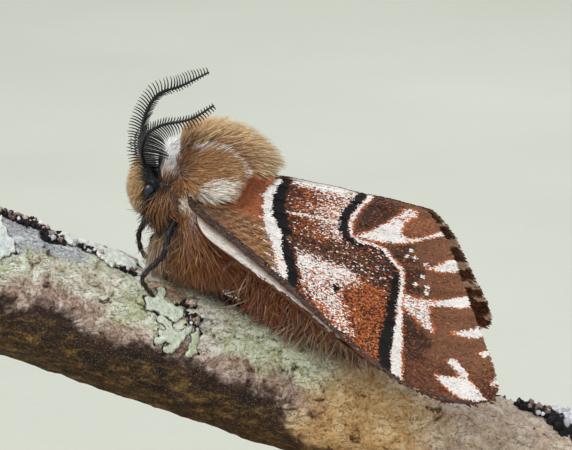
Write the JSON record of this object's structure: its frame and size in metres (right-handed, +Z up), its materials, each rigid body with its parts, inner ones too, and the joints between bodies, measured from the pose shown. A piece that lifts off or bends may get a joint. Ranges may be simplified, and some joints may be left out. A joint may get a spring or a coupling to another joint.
{
  "type": "kentish glory moth model",
  "caption": "Life-size moth with roof-like patterned wings, furry body and comb-like antennae, gripping a cut branch on a plain stand.",
  "frame": {"origin": "middle of the underside of the stand's base", "axes": "+Z up, -X towards the moth's head, -Y towards the moth's left side"},
  "size_m": [0.058, 0.036, 0.0438],
  "materials": {
    "tan_fur": "dense soft hair, tan with darker roots",
    "brown_fur": "dense soft hair, red brown",
    "white_fur": "dense soft hair, cream white",
    "wing_scales": "overlapping matt scales in brown, rust, black and white bands",
    "black_cuticle": "hard glossy black cuticle",
    "bark": "weathered bark with crusts of grey and green lichen",
    "pale_wood": "satin pale wood",
    "steel": "brushed"
  },
  "bodies": {
    "root": {"stand_base": "pale_wood", "stand_rod": "steel", "perch_branch": "bark", "thorax": "tan_fur", "abdomen": "brown_fur", "head": "tan_fur", "collar": "white_fur", "tegula_left": "tan_fur", "tegula_right": "tan_fur", "eye_left": "black_cuticle", "eye_right": "black_cuticle", "antenna_left": "black_cuticle", "antenna_right": "black_cuticle", "forewing_left": "wing_scales", "forewing_right": "wing_scales", "hindwing_left": "wing_scales", "hindwing_right": "wing_scales", "foreleg_left": "black_cuticle", "foreleg_right": "black_cuticle", "midleg_left": "black_cuticle", "midleg_right": "black_cuticle", "hindleg_left": "black_cuticle", "hindleg_right": "black_cuticle"}
  },
  "joints": []
}
